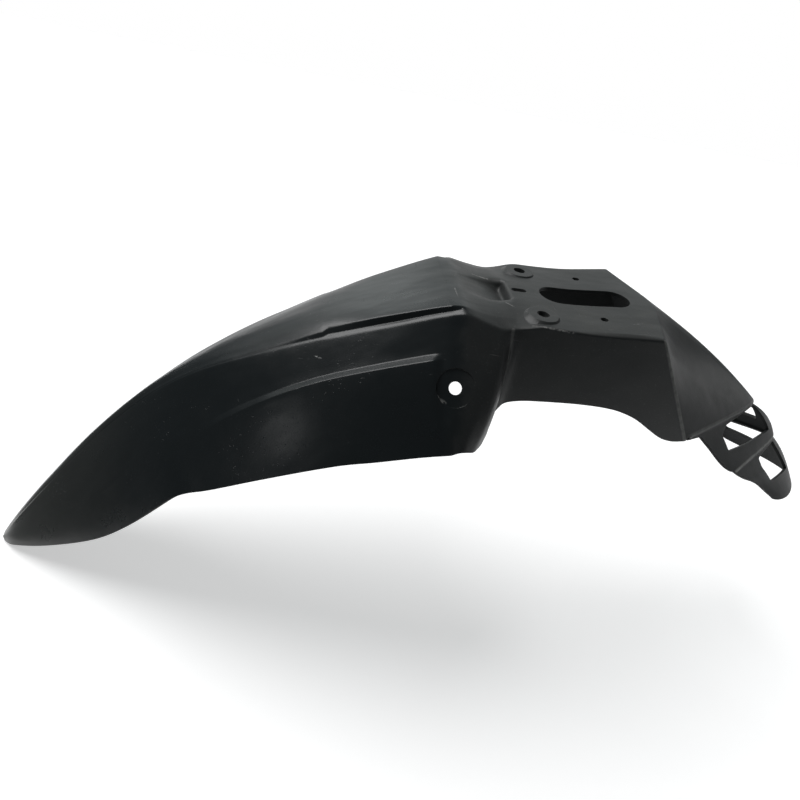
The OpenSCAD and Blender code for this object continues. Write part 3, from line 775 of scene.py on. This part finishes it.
def plastic():
    """Near-black moulded plastic: glossy on the beak, worn satin on the plate, panel and tail, with painted
    light on the nose and pale edges of wear and painted highlight along the creases.
    """
    material, g = new_material("black_plastic")
    shader = g.nodes["Principled BSDF"]
    place = g.node("ShaderNodeTexCoord").outputs["Object"]
    normal = g.node("ShaderNodeNewGeometry").outputs["Normal"]
    x, y, z = g.parts(place)

    # The outer skin is where the surface faces away from the wheel axle
    from_axle = g.vector("ADD", g.vector("MULTIPLY", place, (1, 3, 1)), (AXLE_LEAD * MM, 0, AXLE_DROP * MM))
    outer = g.fade(g.vector("DOT_PRODUCT", from_axle, normal), -0.05, 0.01)
    top = g.fade(g.parts(normal)["Z"], 0.45, 0.9)

    # Broad and fine unevenness, and the change from gloss to satin
    cloud = g.noise(place, 14, 4, 0.6, 0.3)
    mottle = g.noise(place, 60, 4, 0.65)
    satin = g.fade(g.math("ADD", x, g.swing(mottle, 0.02)), GLOSS_END, SATIN_START)

    def by_finish(on_gloss, on_satin):
        return g.fade(satin, 0, 1, on_gloss, on_satin)

    # Specks, hairlines in two directions, and scratches
    speck = g.fade(g.noise(place, 900, 2, 0.6), 0.63, 0.72)
    hair = g.stretched(place, (40, 600, 600), (0, 0, 0.35))
    cross = g.stretched(place, (500, 45, 500), (0, 0, -0.5))
    fine = [g.fade(g.noise(hair, 1.0, 3, 0.6), 0.66, 0.72), g.fade(g.noise(cross, 1.0, 3, 0.6), 0.67, 0.73)]
    lines = g.math("MULTIPLY", g.largest(fine), g.fade(cloud, 0.45, 0.65))
    scratches = g.largest([g.stroke(place, a, b, r) for a, b, r in SCRATCHES])
    ragged = g.math("MULTIPLY", scratches, g.fade(g.noise(place, 420, 2), 0.36, 0.56))

    # Edges painted pale, partly rubbed wear and partly painted highlight on the rounded creases, alike on
    # both sides
    folded = g.joined(x, g.math("ABSOLUTE", y), z)
    wear_and_highlight = []
    for points, radius, strength in worn_and_highlit_edges():
        line = g.largest([g.stroke(folded, a, b, radius) for a, b in zip(points, points[1:])])
        wear_and_highlight.append(g.math("MULTIPLY", line, strength))
    wear_and_highlight = g.math("MULTIPLY", g.largest(wear_and_highlight), g.fade(g.noise(place, 160, 3, 0.6), 0.3, 0.6, 0.55, 1))

    # Colour
    dust = g.math("MULTIPLY", g.math("MULTIPLY", g.fade(cloud, 0.42, 0.75), top), by_finish(0.1, 0.32))
    # Painted light: the nose is painted a paler black towards its tip, standing in for the light that falls
    # on it from the left
    nose = g.fade(g.math("ADD", x, g.swing(cloud, 0.06)), NOSE_PALE, NOSE_DARK, 1, 0)
    marks = g.math("ADD", g.math("MULTIPLY", lines, by_finish(0.01, 0.18)),
                   g.math("MULTIPLY", speck, by_finish(0.015, 0.12)), clamp=True)
    base = g.blend(satin, DEEP_BLACK, WORN_BLACK)
    for share, colour in ((nose, NOSE_PAINTED_LIGHT), (dust, DUST), (wear_and_highlight, WORN_AND_HIGHLIGHT_PALE), (marks, FINE_MARK),
                          (g.math("MULTIPLY", ragged, 0.5), SCRATCHED)):
        base = g.blend(share, base, colour)
    g.feed(shader.inputs["Base Color"], g.blend(outer, INNER_BLACK, base))
    g.feed(shader.inputs["Specular IOR Level"], g.fade(outer, 0, 1, 0.12, 0.5))
    shader.inputs["IOR"].default_value = 1.48

    # Roughness, with the inner skin matt
    rough = by_finish(0.3, 0.47)
    scored = g.math("MULTIPLY", g.largest([lines, ragged]), 0.15)
    for more in (g.swing(cloud, 0.18), g.swing(mottle, 0.1), scored):
        rough = g.math("ADD", rough, more)
    g.feed(shader.inputs["Roughness"], g.math("MAXIMUM", rough, g.fade(outer, 0, 1, 0.65, 0.2)))

    # Relief too fine for the mesh
    bevel = g.node("ShaderNodeBevel", samples=4)
    bevel.inputs["Radius"].default_value = EDGE_RADIUS
    ripple = g.noise(g.stretched(place, (1, 2.2, 1)), 22, 2, 0.45)
    relief = g.bump(ripple, 0.0014, 0.6, bevel.outputs["Normal"])
    relief = g.bump(g.noise(place, 700, 3, 0.6), 0.0001, by_finish(0.12, 0.5), relief)
    relief = g.bump(g.largest([ragged, lines]), 0.0003, 0.6, relief, invert=True)
    g.feed(shader.inputs["Normal"], relief)
    return material


# Stage, light and camera
FLOOR_Z = cad_box[0][2] - 0.001
FLOOR_FRONT, FLOOR_BACK = -0.42, 3.2
CURL, CURL_STEPS = 0.5, 12
BACKDROP_H = 1.1
FLOOR_GLOW = 0.5

# The floor's side edges: x at the front, and its change with each metre back
FLOOR_SIDES = ((-0.27, -0.42), (0.42, 0.72))


def make_floor():
    """The floor and backdrop reach a little past what the camera sees."""
    flat_end = FLOOR_BACK - CURL
    profile = [(FLOOR_FRONT, FLOOR_Z), (flat_end, FLOOR_Z)]
    for k in range(1, CURL_STEPS + 1):
        a = math.radians(90 * k / CURL_STEPS)
        profile.append((flat_end + CURL * math.sin(a), FLOOR_Z + CURL * (1 - math.cos(a))))
    profile.append((FLOOR_BACK, FLOOR_Z + BACKDROP_H))
    verts = [(x + change * (y - FLOOR_FRONT), y, h) for y, h in profile for x, change in FLOOR_SIDES]
    faces = [(2 * k, 2 * k + 1, 2 * k + 3, 2 * k + 2) for k in range(len(profile) - 1)]
    mesh = bpy.data.meshes.new("floor")
    mesh.from_pydata(verts, [], faces)
    floor = add_object("floor", mesh)
    mesh.materials.append(pale_floor())
    mesh.materials.append(white_backdrop())
    for polygon in mesh.polygons:
        polygon.use_smooth = True
        polygon.material_index = 0 if polygon.index == 0 else 1


def seen_directly(g):
    """One for camera, mirror and transmission rays, else zero."""
    rays = g.node("ShaderNodeLightPath").outputs
    return g.largest([rays["Is %s Ray" % kind] for kind in ("Camera", "Glossy", "Transmission")])


def pale_floor():
    """White paint that keeps the shadow, and glows a little where the camera or a mirror ray sees it."""
    material, g = new_material("pale_floor")
    g.nodes.clear()
    diffuse = g.node("ShaderNodeBsdfDiffuse")
    diffuse.inputs["Color"].default_value = (0.8, 0.8, 0.8, 1)
    glow = g.node("ShaderNodeEmission")
    g.feed(glow.inputs["Strength"], g.math("MULTIPLY", seen_directly(g), FLOOR_GLOW))
    both = g.node("ShaderNodeAddShader")
    g.feed(both.inputs[0], diffuse.outputs[0])
    g.feed(both.inputs[1], glow.outputs[0])
    g.feed(g.node("ShaderNodeOutputMaterial").inputs["Surface"], both.outputs[0])
    return material


def white_backdrop():
    """Plain white where the camera or a mirror ray sees it, and white paint for the rest."""
    material, g = new_material("white_backdrop")
    g.nodes.clear()
    diffuse = g.node("ShaderNodeBsdfDiffuse")
    glow = g.node("ShaderNodeEmission")
    mix = g.node("ShaderNodeMixShader")
    g.feed(mix.inputs[0], seen_directly(g))
    g.feed(mix.inputs[1], diffuse.outputs[0])
    g.feed(mix.inputs[2], glow.outputs[0])
    g.feed(g.node("ShaderNodeOutputMaterial").inputs["Surface"], mix.outputs[0])
    return material


def add_lamp(name, kind, power, turn, place=(0, 0, 0)):
    light = bpy.data.lights.new(name, kind)
    light.energy = power
    obj = bpy.data.objects.new(name, light)
    obj.location = place
    obj.rotation_euler = turn.to_euler()
    bpy.context.scene.collection.objects.link(obj)
    return light


def area_light(name, place, target, size, power, color=(1, 1, 1)):
    turn = (Vector(target) - Vector(place)).to_track_quat("-Z", "Y")
    light = add_lamp(name, "AREA", power, turn, place)
    light.shape = "RECTANGLE"
    light.size, light.size_y = size
    light.color = color


def sun_light(name, toward, angle, strength):
    light = add_lamp(name, "SUN", strength, Vector(toward).to_track_quat("Z", "Y"))
    light.angle = math.radians(angle)


# The camera as solved from the photograph
EYE = (-0.1736, -0.3754, 0.1643)
RIGHT = (0.9809, -0.0734, 0.1802)
UP = (-0.1021, 0.5941, 0.7980)
BACK = (-0.1657, -0.8011, 0.5753)
LENS, SENSOR = 27.0, 36.0


def make_camera():
    data = bpy.data.cameras.new("camera")
    data.lens = LENS
    data.sensor_width = SENSOR
    data.clip_start = 0.01
    data.clip_end = 50
    camera = bpy.data.objects.new("camera", data)
    bpy.context.scene.collection.objects.link(camera)
    camera.matrix_world = placed(RIGHT, UP, BACK, EYE)
    bpy.context.scene.camera = camera


WORLD_GREY = (0.086, 0.093, 0.096, 1)


def make_world():
    world = bpy.data.worlds.new("world")
    world.use_nodes = True
    world.node_tree.nodes["Background"].inputs["Color"].default_value = WORLD_GREY
    bpy.context.scene.world = world


COOL_WHITE = (0.94, 1.0, 0.99)

bpy.context.scene.view_settings.view_transform = "Standard"
make_camera()
make_world()
make_floor()
sun_light("soft_sky", (-0.5, 0.35, 1.0), 45, 2.3)
area_light("softbox_back", (-0.2, 2.6, 1.5), (0, 0, -0.1), (5.4, 1.7), 17.5, COOL_WHITE)
area_light("softbox_right", (1.35, -0.7, 0.0), (0.09, -0.055, -0.04), (0.45, 0.6), 0.8)
area_light("window", (-0.72, 2.45, 1.0), (-0.12, 0, -0.02), (0.6, 0.4), 0.8, COOL_WHITE)
area_light("softbox_rear", (2.1, 0.45, 0.0), (0.12, 0, -0.05), (0.8, 0.8), 2.4)
area_light("small_lamp", (-1.13, -0.71, 0.27), (-0.177, -0.078, -0.094), (0.12, 0.12), 0.3)

guard = build_mudguard()
guard.data.materials.clear()
guard.data.materials.append(plastic())
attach(guard, "root")
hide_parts("mudguard")
